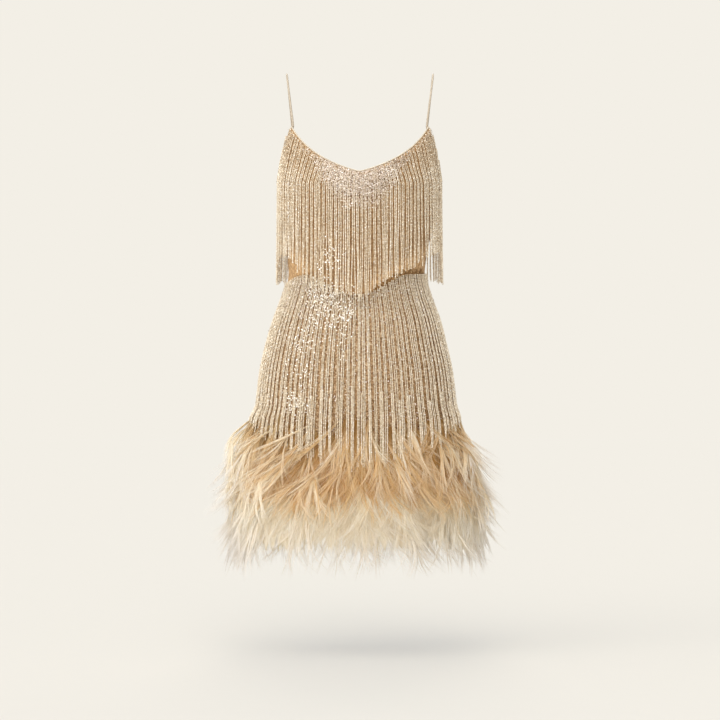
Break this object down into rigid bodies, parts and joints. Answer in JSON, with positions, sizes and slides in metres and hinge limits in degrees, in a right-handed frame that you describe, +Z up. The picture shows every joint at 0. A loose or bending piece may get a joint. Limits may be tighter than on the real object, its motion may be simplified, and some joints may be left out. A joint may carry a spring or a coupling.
{
  "type": "fringed cocktail dress",
  "caption": "Short hollow dress with thin shoulder straps, a V neckline with hanging beaded fringe, a fringed fitted skirt and a tiered feather hem.",
  "frame": {"origin": "midway between the tops of the two shoulder straps, on the level where the shoulders carry them", "axes": "+Z up, -Y towards the front of the dress, +X towards the right-hand strap as seen from the front"},
  "size_m": [0.5281, 0.3209, 0.9026],
  "materials": {
    "mesh_cloth": "fine tan mesh, matte",
    "beaded_cloth": "mesh closely sewn with small champagne beads",
    "satin_trim": "satin, soft sheen",
    "beads": "shiny champagne and silver glass beads",
    "feathers": "soft fine barbs, tan above and cream below"
  },
  "bodies": {
    "root": {"bodice_front": "mesh_cloth", "bodice_back": "mesh_cloth", "skirt_front": "beaded_cloth", "skirt_back": "beaded_cloth", "neck_binding_front": "satin_trim", "neck_binding_back": "satin_trim", "armhole_binding_left": "satin_trim", "armhole_binding_right": "satin_trim", "strap_left": "satin_trim", "strap_right": "satin_trim", "fringe_neck_front": "beads", "fringe_neck_back": "beads", "fringe_armhole_left": "beads", "fringe_armhole_right": "beads", "fringe_skirt_front": "beads", "fringe_skirt_back": "beads", "feathers_upper_front": "feathers", "feathers_upper_back": "feathers", "feathers_lower_front": "feathers", "feathers_lower_back": "feathers"}
  },
  "joints": []
}
